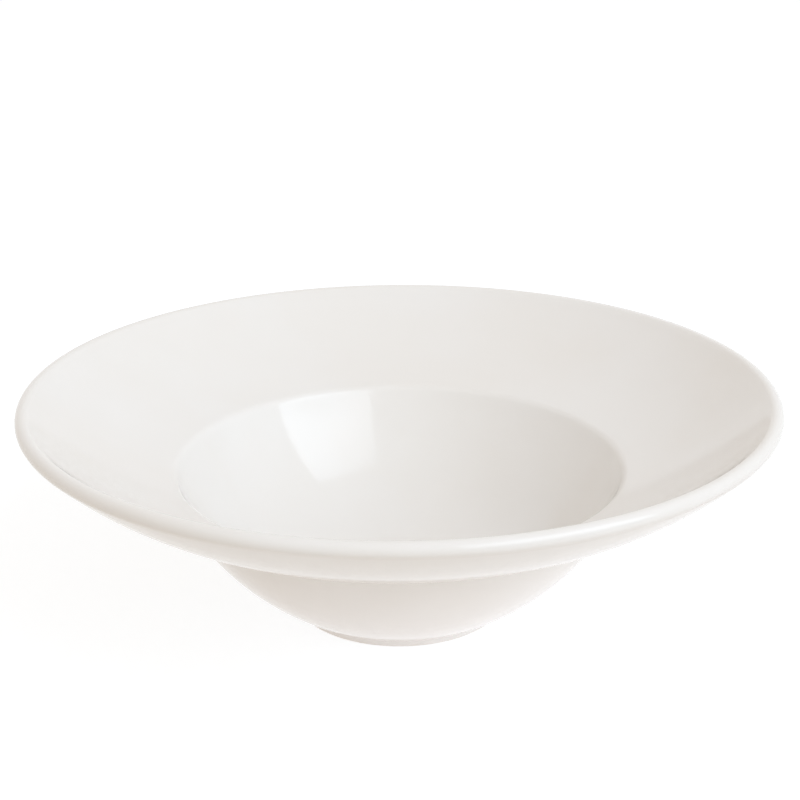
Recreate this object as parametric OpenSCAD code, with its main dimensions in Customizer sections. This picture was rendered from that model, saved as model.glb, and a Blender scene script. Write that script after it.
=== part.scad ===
// Wide rimmed pasta bowl in glazed porcelain, standing on its foot ring.
// The origin is on the table under the middle of the bowl, with +Z up.
// Every piece is a half section turned about Z. The sections are made of the same stretches of
// outline. At inset 0 these run along the glazed faces, and at the glaze's thickness they run along
// the fired body under the glaze. All the curves keep their middles, so they stay smooth at any inset.

/* [Overall] */
// Diameter across the outside of the lip
bowl_d = 270; // [250:1:300]
// Height from the table to the top of the lip
bowl_h = 85; // [78:0.5:94]

/* [Rim] */
// Thickness of the rounded lip
lip_t = 5.4; // [4:0.1:7]
// Thickness of the rim where it leaves the well
rim_root_t = 6.7; // [5:0.1:9]
// Radius of the hollow curve of the rim's top face, from the well edge to the lip
rim_top_r = 107; // [90:1:140]

/* [Well] */
// Diameter of the well where the rim's top face turns down into it
well_d = 162.4; // [146:0.2:176]
// Height of that edge above the table
well_edge_h = 55.3; // [50:0.1:62]
// Slope of the well's side at that edge, in degrees from level
well_edge_angle = 68.6; // [62:0.2:74]
// Radius of the curve of the well's side, inside
well_side_r = 95.2; // [84:0.2:110]
// Slope at which the side passes into the tighter curve above the floor, in degrees
well_turn_angle = 48; // [42:1:54]
// Thickness of the well's side at that edge
well_t = 4.2; // [3.6:0.1:6]
// Rounding of the edge between the rim and the well
well_edge_round = 4; // [2:0.1:6]
// Rounding of the hollow corner under the rim, where the outside of the well begins
shoulder_round = 5; // [3:0.1:10]

/* [Foot] */
// Diameter of the foot ring at the table
foot_d = 79.4; // [72:0.2:86]
// Height at which the foot ring's outer side would meet the outside of the well without its rounding
foot_h = 2.8; // [2.4:0.1:4]
// Width of the foot ring at the table, with its two rounded edges
foot_w = 3.8; // [3:0.1:5]
// Draft of the foot ring's outer side, in degrees
foot_draft = 10; // [5:1:15]
// Draft of the foot ring's inner side, in degrees
recess_draft = 20; // [10:1:30]
// Rounding of the two edges of the standing face
foot_edge_round = 0.8; // [0.5:0.05:1]
// Rounding of the corner where the foot ring meets the outside of the well
foot_root_round = 1.2; // [0.8:0.1:2]
// Height of the hollow inside the foot ring
recess_h = 3; // [2.6:0.1:4]
// Rounding of the corner inside that hollow
recess_round = 1.4; // [0.8:0.1:1.5]
// Thickness of the floor, from that hollow to the bottom of the well
base_t = 6; // [4.5:0.1:7.5]

/* [Glaze] */
// Thickness of the glaze
glaze_t = 0.3; // [0.2:0.05:0.5]
// Height up to which the foot ring is wiped clean of glaze
glaze_line_h = 1.1; // [1:0.05:1.2]

/* [Hidden] */
$fn = 360;

// Farthest that a chord of a curved stretch lies from its curve
curve_tol = 0.01;

// Direction from the middle of a curve to the place where its slope is a degrees
function down(a) = [sin(a), -cos(a)];
// That slope, for a place in the direction v from the middle
function slope_of(v) = atan2(v[0], -v[1]);
function unit(v) = v / norm(v);
// Points of the curve of radius r about c, from one slope to another
function curve(c, r, from, to) =
  let (steps = ceil(abs(to - from) / (2 * acos(1 - curve_tol / r))))
  [for (i = [0 : steps]) c + r * down(from + (to - from) * i / steps)];
// The point r1 from c1 and r2 from c2 that lies to the right of the line from c1 to c2
function meet(c1, r1, c2, r2) =
  let (d = norm(c2 - c1),
       along = (r1 * r1 - r2 * r2 + d * d) / (2 * d),
       across = sqrt(r1 * r1 - along * along),
       ahead = unit(c2 - c1))
  c1 + along * ahead + across * [ahead[1], -ahead[0]];
// Radius of the curve that leaves p square to the direction n and passes through q
function radius_through(p, q, n) = (q - p) * (q - p) / (2 * (q - p) * n);
// The same points from last to first
function reversed(points) = [for (i = [len(points) - 1 : -1 : 0]) points[i]];

// Lip
lip_r = lip_t / 2;
lip_c = [bowl_d / 2 - lip_r, bowl_h - lip_r];

// Rim. The top and under faces leave the lip at opposite ends of one diameter
well_edge = [well_d / 2, well_edge_h];
rim_top_c = meet(lip_c, rim_top_r + lip_r, well_edge, rim_top_r);
lip_axis = unit(rim_top_c - lip_c);
lip_slope = slope_of(-lip_axis);
rim_root = well_edge + rim_root_t * unit(well_edge - rim_top_c);
rim_under_start = lip_c - lip_r * lip_axis;
rim_under_r = radius_through(rim_under_start, rim_root, lip_axis);
rim_under_c = rim_under_start + rim_under_r * lip_axis;

// Well, inside. A tighter curve leads from the side to the floor
side_c = well_edge - well_side_r * down(well_edge_angle);
floor_h = recess_h + base_t;
turn_start = side_c + well_side_r * down(well_turn_angle);
turn_r = (turn_start[1] - floor_h) / (1 - cos(well_turn_angle));
turn_c = turn_start - turn_r * down(well_turn_angle);

// Foot ring. Both sides lean with their drafts, from their places on the table
foot_r = foot_d / 2;
foot_side = down(90 - foot_draft);
foot_up = down(180 - foot_draft);
recess_r = foot_r - foot_w;
function foot_side_r(z, back) = foot_r + z * tan(foot_draft) - back / cos(foot_draft);
function recess_side_r(z, back) = recess_r - z * tan(recess_draft) + back / cos(recess_draft);

// Well, outside. One curve leaves side by side with the inside and ends at the top of the foot ring
out_start = well_edge + well_t * down(well_edge_angle);
foot_top = [foot_side_r(foot_h, 0), foot_h];
well_out_r = radius_through(out_start, foot_top, -down(well_edge_angle));
out_c = out_start - well_out_r * down(well_edge_angle);

// Roundings between the rim and the well, above and below
edge_round_c = meet(side_c, well_side_r + well_edge_round, rim_top_c, rim_top_r + well_edge_round);
shoulder_c = meet(out_c, well_out_r + shoulder_round, rim_under_c, rim_under_r + shoulder_round);

// The rounding at the root of the foot touches the foot's side and the outside of the well
root_from = [foot_r, 0] + foot_root_round * foot_side - out_c;
root_reach = well_out_r + foot_root_round;
root_rise = -root_from * foot_up
          - sqrt(pow(root_from * foot_up, 2) - root_from * root_from + root_reach * root_reach);
foot_root_c = out_c + root_from + root_rise * foot_up;

// The rounding inside the hollow touches the hollow's top and the ring's inner side
recess_c_h = recess_h - recess_round;
recess_c = [recess_side_r(recess_c_h, -recess_round), recess_c_h];

// Outline of the glazed faces, from the glaze line on the foot's outer side, under the rim, round
// the lip and across the well to the axis
function coat_path(inset) = concat(
  [[foot_side_r(glaze_line_h, inset), glaze_line_h]],
  curve(foot_root_c, foot_root_round + inset, slope_of(-foot_side), slope_of(out_c - foot_root_c)),
  curve(out_c, well_out_r - inset, slope_of(foot_root_c - out_c), slope_of(shoulder_c - out_c)),
  curve(shoulder_c, shoulder_round + inset, slope_of(out_c - shoulder_c),
        slope_of(rim_under_c - shoulder_c)),
  curve(rim_under_c, rim_under_r - inset, slope_of(shoulder_c - rim_under_c), lip_slope),
  curve(lip_c, lip_r - inset, lip_slope, lip_slope + 180),
  curve(rim_top_c, rim_top_r + inset, lip_slope, slope_of(edge_round_c - rim_top_c)),
  curve(edge_round_c, well_edge_round - inset, slope_of(rim_top_c - edge_round_c),
        slope_of(side_c - edge_round_c)),
  curve(side_c, well_side_r + inset, slope_of(edge_round_c - side_c), well_turn_angle),
  curve(turn_c, turn_r + inset, well_turn_angle, 0),
  [[0, floor_h - inset]]
);

// Outline of the glazed faces under the bowl, from the axis to the glaze line inside the foot ring
function recess_path(inset) = concat(
  [[0, recess_h + inset]],
  curve(recess_c, recess_round + inset, 180, 90 + recess_draft),
  [[recess_side_r(glaze_line_h, inset), glaze_line_h]]
);

// Outline of the bare foot ring between the two glaze lines, around the face that it stands on
function foot_path(inset) =
  let (edge = foot_edge_round, back = inset + edge)
  concat(
    curve([recess_side_r(edge, back), edge], edge, recess_draft - 90, 0),
    curve([foot_side_r(edge, back), edge], edge, 0, 90 - foot_draft)
  );

// The fired body: rim, well and foot ring in one piece, bare where it stands
module porcelain_body() {
  color([0.93, 0.91, 0.87])
    rotate_extrude()
      polygon(concat(recess_path(glaze_t), foot_path(glaze_t), coat_path(glaze_t)));
}

// The glaze over the well, the rim, the lip and the outside, down to the wiped foot ring
module glaze_coat() {
  color([0.96, 0.95, 0.93])
    rotate_extrude()
      polygon(concat(coat_path(0), reversed(coat_path(glaze_t))));
}

// The glaze in the hollow under the foot ring
module recess_glaze() {
  color([0.94, 0.93, 0.90])
    rotate_extrude()
      polygon(concat(recess_path(0), reversed(recess_path(glaze_t))));
}

porcelain_body();
glaze_coat();
recess_glaze();
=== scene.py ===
# %% [markdown]
# # A wide rimmed pasta bowl in white glazed porcelain
# A bowl like this is one lump of fired clay under a skin of clear glass. A picture of it stands or
# falls with three things: the curve of its section, the way the glaze mirrors the lamps, and the one
# place where the clay is left bare, the foot ring that it stands on.
# The lesson makes the bowl as three closed surfaces, gives each its finish, and lights them with a
# soft window over a white sheet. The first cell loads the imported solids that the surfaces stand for,
# and keeps the box that they fill, because the finished bowl has to stay inside it.

# %% Load the solids
import math

import bpy
import numpy as np
from mathutils import Matrix, Vector


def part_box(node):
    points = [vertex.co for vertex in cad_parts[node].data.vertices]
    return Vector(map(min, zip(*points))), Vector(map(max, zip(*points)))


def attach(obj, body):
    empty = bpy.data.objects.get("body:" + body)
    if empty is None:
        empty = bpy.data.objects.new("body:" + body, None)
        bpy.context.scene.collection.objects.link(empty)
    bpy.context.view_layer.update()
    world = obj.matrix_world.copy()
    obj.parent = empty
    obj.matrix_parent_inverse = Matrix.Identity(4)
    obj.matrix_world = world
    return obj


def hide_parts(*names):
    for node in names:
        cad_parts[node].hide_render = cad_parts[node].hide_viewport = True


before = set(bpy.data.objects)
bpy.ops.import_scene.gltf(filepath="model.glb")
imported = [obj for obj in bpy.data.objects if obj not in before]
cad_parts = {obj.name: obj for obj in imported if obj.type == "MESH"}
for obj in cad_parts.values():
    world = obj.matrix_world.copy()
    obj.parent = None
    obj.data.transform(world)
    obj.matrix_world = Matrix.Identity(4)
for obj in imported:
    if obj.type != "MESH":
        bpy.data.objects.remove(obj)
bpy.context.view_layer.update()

mm = 0.001
print("Solids:", ", ".join(sorted(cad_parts)))

# %% [markdown]
# ## The sizes of the section
# A thrown or pressed bowl is round, so all of its shape is in one half section, turned about Z. The
# section could be drawn freely as a spline through many points, but then nobody could say what its
# numbers mean. A potter's template is cut from arcs, and so is this one: each size below is something
# that a ruler or a radius gauge finds on the real bowl. The largest two come from the solids.

# %% Sizes of the bowl
box_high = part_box("glaze_coat")[1]
bowl_radius = box_high[0]
bowl_height = box_high[2]
lip_thickness = 5.4 * mm
rim_root_thickness = 6.7 * mm
rim_hollow_radius = 107 * mm

well_edge_radius = 81.2 * mm
well_edge_height = 55.3 * mm
well_edge_slope = math.radians(68.6)
well_side_radius = 95.2 * mm
well_turn_slope = math.radians(48)
well_thickness = 4.2 * mm
well_edge_rounding = 4 * mm
shoulder_rounding = 5 * mm
floor_height = 9 * mm

foot_radius = 39.7 * mm
foot_height = 2.8 * mm
foot_width = 3.8 * mm
foot_draft = math.radians(10)
recess_draft = math.radians(20)
foot_edge_rounding = 0.8 * mm
foot_root_rounding = 1.2 * mm
recess_height = 3 * mm
recess_rounding = 1.4 * mm

glaze_thickness = 0.3 * mm
glaze_line_height = 1.1 * mm
print(f"Bowl {2 * bowl_radius / mm:.1f} mm across and {bowl_height / mm:.1f} mm high")

# %% [markdown]
# ## Arcs that run into each other without a kink
# Two arcs meet smoothly when their middles and their meeting point lie on one line. So the middle of a
# rounding between two curves is found as a draughtsman finds it with a pair of compasses: it lies at a
# known distance from each of the two middles. Every direction here is told by the slope of the
# surface, measured round the section, so that one angle says both where a point is and how it leans.

# %% Compass work
def down(slope):
    """Direction from an arc's middle to the place with that slope: its sine outwards, its cosine down."""
    return np.array([math.sin(slope), -math.cos(slope)])


def slope_of(way):
    """The slope for a place that lies in the direction way from the arc's middle."""
    return math.atan2(way[0], -way[1])


def unit(way):
    """The same direction, with a length of one."""
    return way / np.hypot(*way)


def meet(first, first_reach, second, second_reach):
    """The point first_reach from first and second_reach from second, right of the line between them."""
    span = np.hypot(*(second - first))
    along = (first_reach ** 2 - second_reach ** 2 + span ** 2) / (2 * span)
    ahead = unit(second - first)
    aside = np.array([ahead[1], -ahead[0]])
    return first + along * ahead + math.sqrt(first_reach ** 2 - along ** 2) * aside


def radius_through(start, end, facing):
    """Radius of the arc that leaves start square to facing and passes through end: the chord's square
    over twice the part of the chord that points along facing."""
    chord = end - start
    return chord @ chord / (2 * chord @ facing)


lip_radius = lip_thickness / 2
lip_middle = np.array([bowl_radius - lip_radius, bowl_height - lip_radius])
well_edge = np.array([well_edge_radius, well_edge_height])
rim_top_middle = meet(lip_middle, rim_hollow_radius + lip_radius, well_edge, rim_hollow_radius)
lip_axis = unit(rim_top_middle - lip_middle)
lip_slope = slope_of(-lip_axis)
print(f"The rim reaches the lip at a slope of {math.degrees(lip_slope):.1f} degrees")

# %% [markdown]
# ## The rim, the well and the foot ring
# The rim is a shallow dish of its own: hollow above, and bulging below. The well under it is a bowl,
# whose side and floor are two arcs. Outside, one arc runs from under the well's edge down to the foot
# ring, which the potter turns last, with a draft on both sides so that the tool or the mould lets go.

# %% Middles and radii of the arcs
rim_root = well_edge + rim_root_thickness * unit(well_edge - rim_top_middle)
rim_under_start = lip_middle - lip_radius * lip_axis
rim_under_radius = radius_through(rim_under_start, rim_root, lip_axis)
rim_under_middle = rim_under_start + rim_under_radius * lip_axis

side_middle = well_edge - well_side_radius * down(well_edge_slope)
turn_start = side_middle + well_side_radius * down(well_turn_slope)
turn_radius = (turn_start[1] - floor_height) / (1 - math.cos(well_turn_slope))
turn_middle = turn_start - turn_radius * down(well_turn_slope)

foot_side = down(math.pi / 2 - foot_draft)
foot_up = down(math.pi - foot_draft)
recess_side = down(recess_draft - math.pi / 2)
recess_radius = foot_radius - foot_width


def foot_side_reach(height, back=0):
    """How far the ring's outer side is from the axis at that height, set back by back into the ring."""
    return foot_radius + height * math.tan(foot_draft) - back / math.cos(foot_draft)


def recess_side_reach(height, back=0):
    """The same for the ring's inner side."""
    return recess_radius - height * math.tan(recess_draft) + back / math.cos(recess_draft)


out_start = well_edge + well_thickness * down(well_edge_slope)
foot_top = np.array([foot_side_reach(foot_height), foot_height])
out_radius = radius_through(out_start, foot_top, -down(well_edge_slope))
out_middle = out_start - out_radius * down(well_edge_slope)

edge_middle = meet(side_middle, well_side_radius + well_edge_rounding,
                   rim_top_middle, rim_hollow_radius + well_edge_rounding)
shoulder_middle = meet(out_middle, out_radius + shoulder_rounding,
                       rim_under_middle, rim_under_radius + shoulder_rounding)
root_from = np.array([foot_radius, 0]) + foot_root_rounding * foot_side - out_middle
root_reach = out_radius + foot_root_rounding
root_rise = (-root_from @ foot_up
             - math.sqrt((root_from @ foot_up) ** 2 - root_from @ root_from + root_reach ** 2))
root_middle = out_middle + root_from + root_rise * foot_up
corner_height = recess_height - recess_rounding
corner_middle = np.array([recess_side_reach(corner_height, -recess_rounding), corner_height])
print(f"Radii: rim {rim_under_radius / mm:.1f} mm below, well {out_radius / mm:.1f} mm outside "
      f"and {turn_radius / mm:.1f} mm where it turns into the floor")

# %% [markdown]
# ## From arcs to rows of points
# The outline is walked in small steps, and each step keeps its place and the direction that the
# surface faces there. With that direction, a second face under the first is one subtraction away, and
# because every stretch is an arc or a straight line, the second face is exact too. Steps are short
# where the curve is tight, such as round the lip, and long where it is nearly flat.

# %% Stretches of the outline
long_step = 2.1 * mm
fine_step = 0.06 * mm
turn_step = math.radians(8)


def arc(middle, radius, start, end, bulge):
    """Rows of place and facing along an arc: the middle plus the radius towards each slope from start
    to end. The surface faces away from the middle where bulge is 1, and towards it where bulge is -1."""
    steps = math.ceil(max(radius * abs(end - start) / long_step, abs(end - start) / turn_step))
    slope = np.linspace(start, end, steps + 1)
    way = np.stack([np.sin(slope), -np.cos(slope)], axis=1)
    return np.hstack([middle + radius * way, bulge * way])


def straight(start, end, facing, step):
    """Rows along the straight line from start to end, which faces one way all along."""
    steps = math.ceil(np.hypot(*np.subtract(end, start)) / step)
    share = np.linspace(0, 1, steps + 1)[:, None]
    places = (1 - share) * start + share * np.asarray(end)
    return np.hstack([places, np.repeat([facing], steps + 1, axis=0)])


def joined(*stretches):
    """The stretches one after another. Each leaves out its first row, where the one before it ended."""
    return np.vstack([stretches[0]] + [rows[1:] for rows in stretches[1:]])


line_outside = np.array([foot_side_reach(glaze_line_height), glaze_line_height])
line_inside = np.array([recess_side_reach(glaze_line_height), glaze_line_height])
outside_rows = joined(
    straight(line_outside, root_middle - foot_root_rounding * foot_side, foot_side, fine_step),
    arc(root_middle, foot_root_rounding, slope_of(-foot_side), slope_of(out_middle - root_middle), -1),
    arc(out_middle, out_radius, slope_of(root_middle - out_middle),
        slope_of(shoulder_middle - out_middle), 1),
    arc(shoulder_middle, shoulder_rounding, slope_of(out_middle - shoulder_middle),
        slope_of(rim_under_middle - shoulder_middle), -1),
    arc(rim_under_middle, rim_under_radius, slope_of(shoulder_middle - rim_under_middle), lip_slope, 1),
    arc(lip_middle, lip_radius, lip_slope, lip_slope + math.pi, 1),
    arc(rim_top_middle, rim_hollow_radius, lip_slope, slope_of(edge_middle - rim_top_middle), -1),
    arc(edge_middle, well_edge_rounding, slope_of(rim_top_middle - edge_middle),
        slope_of(side_middle - edge_middle), 1),
    arc(side_middle, well_side_radius, slope_of(edge_middle - side_middle), well_turn_slope, -1),
    arc(turn_middle, turn_radius, well_turn_slope, 0, -1),
    straight([turn_middle[0], floor_height], [0, floor_height], [0, 1], long_step),
)
recess_rows = joined(
    straight([0, recess_height], [corner_middle[0], recess_height], [0, -1], long_step),
    arc(corner_middle, recess_rounding, math.pi, math.pi / 2 + recess_draft, -1),
    straight(corner_middle - recess_rounding * recess_side, line_inside, recess_side, fine_step),
)
print(f"{len(outside_rows)} rows over the glazed outside, {len(recess_rows)} in the hollow under it")

# %% [markdown]
# ## Turning the rows into a surface
# The wheel turns every row into a ring, so a point of the surface needs two numbers: its row, and its
# angle round the axis. Both are whole arrays here, and one sum makes all the points at once. A lift
# moves a point along its facing, which is how the glaze gets thicker and thinner later on.
# Each piece starts and ends on the axis, so its mesh is closed: rings of squares between two caps.

# %% Surface and mesh
columns = 320
cubic_centimetre = (10 * mm) ** 3
angle = np.arange(columns) * (2 * math.pi / columns)


def turned(rows, lift=0.0):
    """Places for every row and angle: the row's place plus the lift times its facing, turned about Z."""
    lift = np.broadcast_to(lift, (len(rows), columns))
    reach = rows[:, None, 0] + lift * rows[:, None, 2]
    height = rows[:, None, 1] + lift * rows[:, None, 3]
    return np.stack([reach * np.cos(angle), reach * np.sin(angle), height], axis=-1)


def closed_piece(name, grid):
    """An object from a grid of places whose first and last rows lie on the axis: one point for each of
    those two rows, triangles from it to the next ring, and a square between each four neighbours. Its
    volume is a third of the sum of each face's middle times its area along its facing, which is half
    the cross product of its diagonals. A triangle counts there as a square with its first corner twice."""
    rings = len(grid) - 2
    places = np.vstack([grid[0, :1], grid[1:-1].reshape(-1, 3), grid[-1, :1]])
    here = 1 + np.arange(rings * columns).reshape(rings, columns)
    beside = np.roll(here, -1, axis=1)
    squares = np.stack([here[:-1], beside[:-1], beside[1:], here[1:]], axis=-1).reshape(-1, 4)
    last = np.full(columns, len(places) - 1)
    caps = np.vstack([np.stack([0 * last, beside[0], here[0]], axis=-1),
                      np.stack([last, here[-1], beside[-1]], axis=-1)])
    corners = np.concatenate([caps.ravel(), squares.ravel()])
    sizes = np.concatenate([np.full(len(caps), 3), np.full(len(squares), 4)])
    mesh = bpy.data.meshes.new(name)
    mesh.vertices.add(len(places))
    mesh.vertices.foreach_set("co", places.ravel())
    mesh.loops.add(len(corners))
    mesh.loops.foreach_set("vertex_index", corners)
    mesh.polygons.add(len(sizes))
    mesh.polygons.foreach_set("loop_start", np.concatenate([[0], np.cumsum(sizes)[:-1]]))
    mesh.update(calc_edges=True)
    mesh.validate()
    mesh.shade_smooth()
    piece = bpy.data.objects.new(name, mesh)
    bpy.context.scene.collection.objects.link(piece)
    faces = places[np.vstack([squares, caps[:, [0, 1, 2, 0]]])]
    areas = np.cross(faces[:, 2] - faces[:, 0], faces[:, 3] - faces[:, 1]) / 2
    volume = np.einsum("ij,ij->", faces.mean(axis=1), areas) / 3
    triangles = len(caps) + 2 * len(squares)
    print(f"{name}: {triangles} triangles, {volume / cubic_centimetre:.1f} cubic centimetres")
    return piece

# %% [markdown]
# ## What the kiln does to a round shape
# Nothing that comes out of a kiln is perfectly round. At white heat the clay is soft, and a wide rim
# sinks by a fraction of a millimetre, more on two sides than on the other two. The eye doesn't measure
# that, but the mirror of the glaze does: without it the reflections look computed.
# The sinking is one function of place, so that the clay and the glaze on it move together.

# %% Sinking of the rim
sink_start = 0.6 * bowl_radius
sink_depth = 0.18 * mm
squeeze = 0.12 * mm
times_round = 2
sink_turn = 0.7
squeeze_turn = 2.1


def fired(grid):
    """Every place lowered and drawn in by small amounts that rise and fall twice round as a cosine, and
    grow with the square of the way from where the rim starts to the lip. Neither makes the bowl larger."""
    reach = np.hypot(grid[..., 0], grid[..., 1])
    share = np.clip((reach - sink_start) / (bowl_radius - sink_start), 0, 1) ** 2
    drop = sink_depth * share * (0.5 - 0.5 * np.cos(times_round * angle + sink_turn))
    pull = squeeze * share * (0.5 - 0.5 * np.cos(times_round * angle + squeeze_turn))
    scale = 1 - pull / np.maximum(reach, mm)
    return np.stack([grid[..., 0] * scale, grid[..., 1] * scale, grid[..., 2] - drop], axis=-1)


print(f"The rim sinks by up to {sink_depth / mm:.2f} mm")

# %% [markdown]
# ## The skin of glaze
# The bowl is dipped in a milk of powdered glass, which melts to a coat about 0.3 mm thick. It could be
# a property of the clay's material and no piece at all, but from below a real bowl shows where the
# coat ends: it stops at the foot ring in a rounded roll, at a line that wavers where a sponge wiped it.
# So the coat is a closed shell: its underside lies on the clay, and its face carries the roll, the
# ghost of the turning rings in the clay, and the slow swells of melted glass.

# %% Unevenness of the glaze
roll_height = 0.36 * mm
roll_width = 0.9 * mm
even_widths = 4
ring_pitch = 8.5 * mm
ring_depth = 0.010 * mm
swell_depth = 0.034 * mm
swell_count = 9
swell_turns = (1, 7)
swell_length = (38 * mm, 110 * mm)
calm_reach = 30 * mm
draws = np.random.default_rng(11)


def travelled(rows):
    """Length of the outline from the first row to each row."""
    return np.concatenate([[0], np.cumsum(np.hypot(*np.diff(rows[:, :2], axis=0).T))])


def swells(along):
    """A sum of slanting waves, each a cosine of a whole number of turns round the bowl plus the way
    travelled over its own wavelength, scaled to run from 0 to 1."""
    turns = draws.integers(*swell_turns, swell_count)
    lengths = draws.uniform(*swell_length, swell_count) * draws.choice([-1, 1], swell_count)
    phases = draws.uniform(0, 2 * math.pi, swell_count)
    waves = np.cos(turns * angle[None, :, None] + 2 * math.pi * along[:, None, None] / lengths + phases)
    total = waves.sum(axis=-1)
    return 0.5 + 0.5 * total / np.abs(total).max()


def glaze_roll(along):
    """Thickness of the coat near the line, over its full thickness: a quarter circle that rises from
    nothing to the height of the roll, then a cosine that falls to the full thickness."""
    rise = np.clip(along / roll_height, 0, 1)
    settle = np.clip((along - roll_height) / roll_width, 0, 1)
    crest = roll_height + (glaze_thickness - roll_height) * (0.5 - 0.5 * np.cos(math.pi * settle))
    return crest * np.sqrt(1 - (1 - rise) ** 2)


def face_lift(rows, along):
    """How far the glaze's face stands from its nominal place: the roll at the line, less the turning
    rings, which climb one pitch for each turn, less the swells. The last two fade out on the axis, and
    within a few widths of the roll from the line."""
    calm = np.clip(rows[:, 0] / calm_reach, 0, 1)[:, None] ** 2
    rings = 0.5 - 0.5 * np.cos(2 * math.pi * along[:, None] / ring_pitch - angle)
    uneven = ring_depth * rings + swell_depth * swells(along)
    away = np.clip(along / (even_widths * roll_width), 0, 1)[:, None]
    return glaze_roll(along)[:, None] - glaze_thickness - calm * away * uneven


line_waver = 0.13 * mm
waver_turns = np.array([3, 7, 11, 18, 29])


def waver():
    """Height of a wiped line all the way round: the mean of cosines of several whole numbers of turns."""
    phases = draws.uniform(0, 2 * math.pi, len(waver_turns))
    return line_waver * np.cos(np.outer(waver_turns, angle) + phases[:, None]).mean(axis=0)


def slid(grid, along, run, wave):
    """The straight run next to the line, moved up and down by the wave: by all of it at the line, and
    by none of it where the run ends."""
    fade = np.clip(1 - along / run, 0, 1)[:, None]
    moved = grid.copy()
    moved[..., 2] += fade * wave
    return moved


print(f"Turning rings {ring_depth / mm:.3f} mm deep, swells {swell_depth / mm:.3f} mm")

# %% The two shells of glaze
def glaze_shell(name, rows, run, walk):
    """A closed shell from rows that start at the wiped line and end on the axis: the underside from the
    axis to the line, every other row of it, and then the face from the line back to the axis. For the
    mesh to face outwards, that whole round is walked forwards with walk 1 and backwards with walk -1."""
    along = travelled(rows)
    wave = waver()
    face = slid(turned(rows, face_lift(rows, along)), along, run, wave)
    underside = slid(turned(rows, -glaze_thickness), along, run, wave)
    return closed_piece(name, fired(np.concatenate([underside[:0:-2], face])[::walk]))


foot_run = np.hypot(*(root_middle - foot_root_rounding * foot_side - line_outside))
recess_run = np.hypot(*(corner_middle - recess_rounding * recess_side - line_inside))
coat = glaze_shell("glaze_coat_shell", outside_rows, foot_run, 1)
recess_coat = glaze_shell("recess_glaze_shell", recess_rows[::-1], recess_run, -1)

# %% [markdown]
# ## The fired clay
# All that shows of the clay is the foot ring, bare where the glaze was wiped off so that the bowl
# doesn't stick to the kiln shelf, and ground level on a disc. The rest lies hidden under the coat, but
# it is made all the same, as one closed solid: an edge of glaze with nothing under it would show.
# Its outline is the glazed outline set back by the glaze, with the ring's two rounded edges between.
# A coarse grit lifts and lowers the bare rows a little, as grinding leaves them.

# %% The clay body
grit_depth = 0.014 * mm
bare_step = 0.22 * mm


def set_back(rows):
    """The same rows, moved back under the glaze along their facing."""
    return np.hstack([rows[:, :2] - glaze_thickness * rows[:, 2:], rows[:, 2:]])


edge_back = glaze_thickness + foot_edge_rounding
inner_edge = np.array([recess_side_reach(foot_edge_rounding, edge_back), foot_edge_rounding])
outer_edge = np.array([foot_side_reach(foot_edge_rounding, edge_back), foot_edge_rounding])
hidden_inside, hidden_outside = set_back(recess_rows), set_back(outside_rows)
bare_rows = joined(
    straight(hidden_inside[-1, :2], inner_edge + foot_edge_rounding * recess_side, recess_side, bare_step),
    arc(inner_edge, foot_edge_rounding, recess_draft - math.pi / 2, 0, 1),
    straight([inner_edge[0], 0], [outer_edge[0], 0], [0, -1], bare_step),
    arc(outer_edge, foot_edge_rounding, 0, math.pi / 2 - foot_draft, 1),
    straight(outer_edge + foot_edge_rounding * foot_side, hidden_outside[0, :2], foot_side, bare_step),
)
clay_rows = joined(hidden_inside, bare_rows, hidden_outside)
grit = np.zeros((len(clay_rows), columns))
bare = slice(len(hidden_inside), len(hidden_inside) + len(bare_rows) - 2)
grit[bare] = -grit_depth * draws.random(grit[bare].shape)
clay = closed_piece("porcelain_clay_body", fired(turned(clay_rows, grit)))

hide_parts("glaze_coat")
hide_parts("recess_glaze")
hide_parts("porcelain_body")
for piece, slot in ((coat, "glaze"), (recess_coat, "glaze"), (clay, "fired_body")):
    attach(piece, "root")

# %% [markdown]
# ## Materials out of nodes
# A finish is a small network: textures that read the place on the object, ramps that turn them into
# colour or roughness, and one shader at the end. A short helper keeps the networks readable: it makes a
# node, sets its options, and plugs in whatever it is given, be it a number or another node's output.

# %% Node helpers
def add(tree, kind, options=None, **inputs):
    """A new node of that kind. Options are its own settings, and inputs are numbers or outputs. An input
    is told by its name with _ for each space, or by i and its number where several share a name."""
    made = tree.nodes.new(kind)
    for name, value in (options or {}).items():
        setattr(made, name, value)
    for name, value in inputs.items():
        place = int(name[1:]) if name[0] == "i" and name[1:].isdigit() else name.replace("_", " ")
        if isinstance(value, bpy.types.NodeSocket):
            tree.links.new(value, made.inputs[place])
        else:
            made.inputs[place].default_value = value
    return made


def noise(tree, place, scale, detail=2.0, roughness=0.5):
    """Output of a soft cloud of values from 0 to 1, with scale cells to the metre."""
    return add(tree, "ShaderNodeTexNoise", Vector=place, Scale=scale, Detail=detail,
               Roughness=roughness).outputs["Fac"]


def spread(tree, value, low, high, start, end):
    """Output that runs from start to end while the value runs from low to high."""
    return add(tree, "ShaderNodeMapRange", Value=value, From_Min=low, From_Max=high, To_Min=start,
               To_Max=end).outputs["Result"]


def blended(tree, share, first, second):
    """Output with the first colour where share is 0 and the second where it is 1."""
    return add(tree, "ShaderNodeMix", {"data_type": "RGBA"}, i0=share, i6=first,
               i7=second).outputs[2]


def new_material(name):
    """A material with an empty network, its output node, and the output for places on the object."""
    material = bpy.data.materials.new(name)
    material.use_nodes = True
    tree = material.node_tree
    tree.nodes.clear()
    end = tree.nodes.new("ShaderNodeOutputMaterial")
    place = tree.nodes.new("ShaderNodeTexCoord").outputs["Object"]
    return material, tree, end, place

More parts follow.
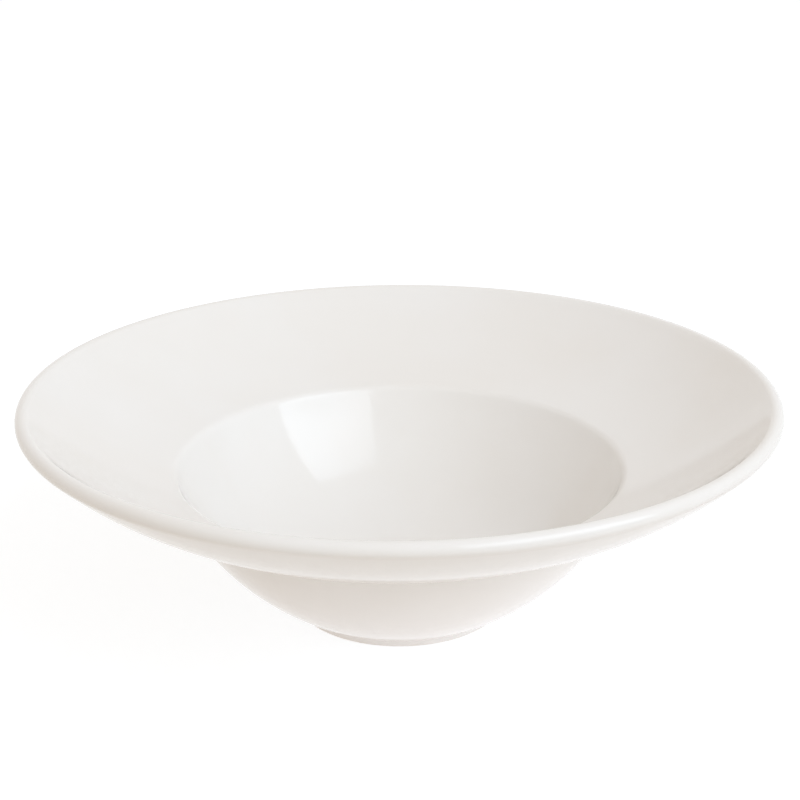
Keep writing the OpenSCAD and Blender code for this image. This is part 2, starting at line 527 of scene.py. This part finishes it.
# %% [markdown]
# ## The glaze's finish
# Glaze on porcelain is clear glass over a white ground. It could be built as real glass over the clay,
# with light passing through twice, but a coat this thin shows no depth, only its mirror and the white
# beneath. So one shader does both: its base is the white of the clay seen through glass, and its gloss
# is the glass. What makes it look real is what is uneven: the faint warm and cool clouds in the white,
# the orange peel of the melt, which bends reflections a little, and rare pinholes where gas got out.

# %% Glaze
glaze_white = (0.905, 0.896, 0.880, 1)
glaze_warm = (0.889, 0.871, 0.843, 1)
glaze_index = 1.52
cloud_cells, cloud_detail, cloud_span = 14, 3.0, (0.35, 0.65)
gloss_cells, gloss_detail, gloss_span = 60, 3.0, (0.3, 0.7)
glaze_roughness = (0.06, 0.12)
flow_cells, flow_depth = 55, 0.03 * mm
peel_cells, peel_depth = 420, 0.006 * mm
pinhole_cells, pinhole_depth = 55, 0.04 * mm
pinhole_edge = (0.004, 0.013)
pinhole_choice = (0.72, 0.74)
plain_detail = 1.0

glaze, tree, end, place = new_material("clear_glaze_on_white")
clouds = spread(tree, noise(tree, place, cloud_cells, cloud_detail), *cloud_span, 0, 1)
ground = blended(tree, clouds, glaze_white, glaze_warm)
gloss = spread(tree, noise(tree, place, gloss_cells, gloss_detail), *gloss_span, *glaze_roughness)
flow = add(tree, "ShaderNodeBump", Strength=1.0, Distance=flow_depth,
           Height=noise(tree, place, flow_cells, plain_detail))
peel = add(tree, "ShaderNodeBump", Strength=1.0, Distance=peel_depth,
           Height=noise(tree, place, peel_cells, plain_detail), Normal=flow.outputs["Normal"])
cells = add(tree, "ShaderNodeTexVoronoi", Vector=place, Scale=pinhole_cells)
pit = spread(tree, cells.outputs["Distance"], *pinhole_edge, 1, 0)
chosen = spread(tree, cells.outputs["Color"], *pinhole_choice, 0, 1)
holes = add(tree, "ShaderNodeMath", {"operation": "MULTIPLY"}, i0=pit, i1=chosen).outputs[0]
pinholes = add(tree, "ShaderNodeBump", {"invert": True}, Strength=1.0, Distance=pinhole_depth,
               Height=holes, Normal=peel.outputs["Normal"])
skin = add(tree, "ShaderNodeBsdfPrincipled", Base_Color=ground, Roughness=gloss, IOR=glaze_index,
           Normal=pinholes.outputs["Normal"])
tree.links.new(skin.outputs[0], end.inputs["Surface"])
for piece in (coat, recess_coat):
    piece.data.materials.append(glaze)
print("Glaze on", coat.name, "and", recess_coat.name)

# %% [markdown]
# ## The bare clay's finish
# Where it is bare, fired porcelain looks like fine sandstone: dull, a little darker and warmer than the
# glaze, with a fine grain. The grinding disc draws rings on it, which depend only on the distance from
# the axis, so the second texture reads that distance and nothing else.

# %% Bare clay
clay_pale = (0.890, 0.875, 0.845, 1)
clay_dark = (0.800, 0.770, 0.720, 1)
grain_cells, grain_detail, grain_roughness, grain_depth = 1700, 4.0, 0.7, 0.03 * mm
speck_span, speck_share = (0.55, 0.8), 0.45
stain_cells, stain_detail, stain_roughness = 190, 4.0, 0.65
stain_span, stain_share = (0.42, 0.75), 0.7
groove_cells, groove_detail, groove_depth, groove_strength = 6500, 2.0, 0.02 * mm, 0.7
dull_span, dull_roughness = (0.3, 0.7), (0.62, 0.85)
flattened = (1, 1, 0)

bare_clay, tree, end, place = new_material("bare_fired_clay")
grain = noise(tree, place, grain_cells, grain_detail, grain_roughness)
flat_place = add(tree, "ShaderNodeVectorMath", {"operation": "MULTIPLY"}, i0=place, i1=flattened)
distance = add(tree, "ShaderNodeVectorMath", {"operation": "LENGTH"}, i0=flat_place.outputs[0])
grooves = add(tree, "ShaderNodeTexNoise", {"noise_dimensions": "1D"}, W=distance.outputs["Value"],
              Scale=groove_cells, Detail=groove_detail).outputs["Fac"]
stain = spread(tree, noise(tree, place, stain_cells, stain_detail, stain_roughness), *stain_span,
               0, stain_share)
tint = blended(tree, stain, clay_pale, clay_dark)
grained = blended(tree, spread(tree, grain, *speck_span, 0, speck_share), tint, clay_dark)
sand = add(tree, "ShaderNodeBump", Strength=1.0, Distance=grain_depth, Height=grain)
ground_rings = add(tree, "ShaderNodeBump", Strength=groove_strength, Distance=groove_depth,
                   Height=grooves, Normal=sand.outputs["Normal"])
dull = spread(tree, grain, *dull_span, *dull_roughness)
stone = add(tree, "ShaderNodeBsdfPrincipled", Base_Color=grained, Roughness=dull,
            Normal=ground_rings.outputs["Normal"])
tree.links.new(stone.outputs[0], end.inputs["Surface"])
clay.data.materials.append(bare_clay)
print("Bare clay on", clay.name)

# %% [markdown]
# ## Floor and background
# The bowl stands on a pale sheet, under a white sky that stands for the walls of a bright studio.
# Pictures on a pure white ground are often taken on a light table, a sheet that also glows from below,
# so that the underside of the bowl isn't lost in its own shadow. Lamps could be built under a sheet of
# milky plastic, but a floor that reflects and glows at once sends up the same light. As over a single
# lamp, the glow is strongest in one place, under the right half of the bowl, and fades around it: that
# is how the foot comes out as light as the wall, and the underside of the rim a little darker.
# If the lamps were turned up until the sheet came out white, the bowl would burn out with it. So rays
# from the camera and mirrored rays see a floor of another kind: a white glow plus a little of the
# sheet's reflected light. It keeps the soft shadow, and all that it gives the bowl is its image in the
# glaze. The sky does the same: it is white to look at and in the mirror of the glaze, and dimmer and
# warmer as a lamp.

# %% Floor and sky
floor_radius = 4.0
floor_colour = (0.65, 0.65, 0.65, 1)
table_dim = (0.11, 0.06, 0.0, 1)
table_bright = (0.485, 0.45, 0.45, 1)
table_middle = (0.045, 0, 0)
table_fade = (0.04, 0.20)
shadow_colour = (0.35, 0.37, 0.39, 1)
floor_glow = 0.76
sky_colour = (1.0, 0.93, 0.865, 1)
sky_strength = 0.70
white = (1, 1, 1, 1)
as_written = 1.0


def seen(tree):
    """Output that is 1 for rays from the camera and for mirrored or transmitted ones, else 0."""
    path = tree.nodes.new("ShaderNodeLightPath")
    mirrored = add(tree, "ShaderNodeMath", {"operation": "MAXIMUM"},
                   i0=path.outputs["Is Glossy Ray"], i1=path.outputs["Is Transmission Ray"])
    return add(tree, "ShaderNodeMath", {"operation": "MAXIMUM"}, i0=path.outputs["Is Camera Ray"],
               i1=mirrored.outputs[0]).outputs[0]


floor_grid = floor_radius * np.array([[-1, -1, 0], [1, -1, 0], [1, 1, 0], [-1, 1, 0]])
floor_mesh = bpy.data.meshes.new("studio_floor")
floor_mesh.from_pydata(floor_grid.tolist(), [], [[0, 1, 2, 3]])
floor = bpy.data.objects.new("studio_floor", floor_mesh)
bpy.context.scene.collection.objects.link(floor)

paper, tree, end, place = new_material("pale_floor")
sheet = add(tree, "ShaderNodeBsdfDiffuse", Color=floor_colour)
away = add(tree, "ShaderNodeVectorMath", {"operation": "DISTANCE"}, i0=place, i1=table_middle)
brighter = spread(tree, away.outputs["Value"], *table_fade, 1, 0)
table_colour = blended(tree, brighter, table_dim, table_bright)
table = add(tree, "ShaderNodeEmission", Color=table_colour, Strength=as_written)
lit = add(tree, "ShaderNodeAddShader", i0=sheet.outputs[0], i1=table.outputs[0])
faint = add(tree, "ShaderNodeBsdfDiffuse", Color=shadow_colour)
glow = add(tree, "ShaderNodeEmission", Color=white, Strength=floor_glow)
looked_at = add(tree, "ShaderNodeAddShader", i0=faint.outputs[0], i1=glow.outputs[0])
surface = add(tree, "ShaderNodeMixShader", i0=seen(tree), i1=lit.outputs[0], i2=looked_at.outputs[0])
tree.links.new(surface.outputs[0], end.inputs["Surface"])
floor.data.materials.append(paper)

world = bpy.data.worlds.new("white_studio")
bpy.context.scene.world = world
world.use_nodes = True
tree = world.node_tree
tree.nodes.clear()
lamp_sky = add(tree, "ShaderNodeBackground", Color=sky_colour, Strength=sky_strength)
white_sky = add(tree, "ShaderNodeBackground", Color=white, Strength=as_written)
sky = add(tree, "ShaderNodeMixShader", i0=seen(tree), i1=lamp_sky.outputs[0], i2=white_sky.outputs[0])
tree.links.new(sky.outputs[0], add(tree, "ShaderNodeOutputWorld").inputs["Surface"])
print(f"Floor {2 * floor_radius:.0f} m across, sky at {sky_strength} as a lamp")

# %% [markdown]
# ## The window
# Daylight comes through one tall window at the front right, covered with cloth. The glaze mirrors it as
# a bright patch on the far side of the well, so its four corners matter as much as its strength: each
# lies in the direction that the glaze sends a ray from the camera. They are told by their turn from +X
# towards the camera, their distance from the axis of the bowl, and their height. An area lamp is a
# rectangle of one strength and gives the patch the wrong slant, so the window is a four-cornered panel
# that glows. Its glow fades towards the front, the top and the table, as the patch in the well and the
# shade on the lip show. It is hidden from the camera itself, and seen only in the glaze.

# %% Window
def at_turn(turn, distance, height):
    """The place with that turn in degrees from +X towards the camera: cosine along X, sine along -Y."""
    heading = math.radians(turn)
    return [distance * math.cos(heading), -distance * math.sin(heading), height]


window_corners = np.array([at_turn(22, 1.235, 0.02), at_turn(75, 1.88, 0.02),
                           at_turn(69, 1.48, 2.46), at_turn(8, 1.19, 1.68)])
window_strength = 3.51
window_colour = (0.836, 0.916, 1.0, 1)
window_front_colour = (0.70, 0.752, 0.81, 1)
window_turn = (0.35, 0.9)
window_rise = (0.0, 0.35)
window_fade = (0.55, 1.0)
window_top_share = 0.66
window_mesh = bpy.data.meshes.new("window_box")
window_mesh.from_pydata(window_corners.tolist(), [], [[0, 1, 2, 3]])
window = bpy.data.objects.new("window_box", window_mesh)
bpy.context.scene.collection.objects.link(window)
window.visible_camera = False
cloth_map = window_mesh.uv_layers.new(name="cloth")
cloth_map.data.foreach_set("uv", np.array([0, 0, 1, 0, 1, 1, 0, 1], dtype=np.float32))

silk, tree, end, place = new_material("box_silk")
cloth = add(tree, "ShaderNodeUVMap", {"uv_map": "cloth"})
cloth_place = add(tree, "ShaderNodeSeparateXYZ", Vector=cloth.outputs["UV"])
upward = cloth_place.outputs["Y"]
frontward = spread(tree, cloth_place.outputs["X"], *window_turn, 0, 1)
cloth_colour = blended(tree, frontward, window_colour, window_front_colour)
risen = spread(tree, upward, *window_rise, 0, window_strength)
cloth_light = add(tree, "ShaderNodeMath", {"operation": "MULTIPLY"}, i0=risen,
                  i1=spread(tree, upward, *window_fade, 1, window_top_share))
shine = add(tree, "ShaderNodeEmission", Color=cloth_colour, Strength=cloth_light.outputs[0])
tree.links.new(shine.outputs[0], end.inputs["Surface"])
window.data.materials.append(silk)
print(f"Window {np.linalg.norm(window_corners[1] - window_corners[0]):.2f} m wide at the table")

# %% [markdown]
# ## The camera
# A picture like this is taken with a longish lens from a little over half a metre away, looking down by
# about twenty degrees. The camera could be aimed by eye, but the outlines of the lip, the well and the
# foot fix it exactly once the section is known: too near and the far rim shrinks too much, too high
# and the well opens too far. The turn, tilt and roll below are those that lay all of them in place.

# %% Camera
sensor_width = 36.0
camera_back = 516.0 * mm
camera_height = 265.7 * mm
camera_tilt = math.radians(19.911)
camera_turn = math.radians(0.033)
camera_roll = math.radians(-0.382)
lens_length = 68.44

ahead = Vector((math.sin(camera_turn) * math.cos(camera_tilt),
                math.cos(camera_turn) * math.cos(camera_tilt), -math.sin(camera_tilt)))
level = Vector((math.cos(camera_turn), -math.sin(camera_turn), 0))
upright = level.cross(ahead)
right = math.cos(camera_roll) * level + math.sin(camera_roll) * upright
top = right.cross(ahead)
camera_data = bpy.data.cameras.new("camera")
camera_data.sensor_width = sensor_width
camera_data.lens = lens_length
camera = bpy.data.objects.new("camera", camera_data)
bpy.context.scene.collection.objects.link(camera)
camera.matrix_world = (Matrix.Translation((0, -camera_back, camera_height))
                       @ Matrix((right, top, -ahead)).transposed().to_4x4())
bpy.context.scene.camera = camera
bpy.context.scene.view_settings.view_transform = "Standard"
print(f"Camera {camera_back / mm:.0f} mm in front and {camera_height / mm:.0f} mm up")
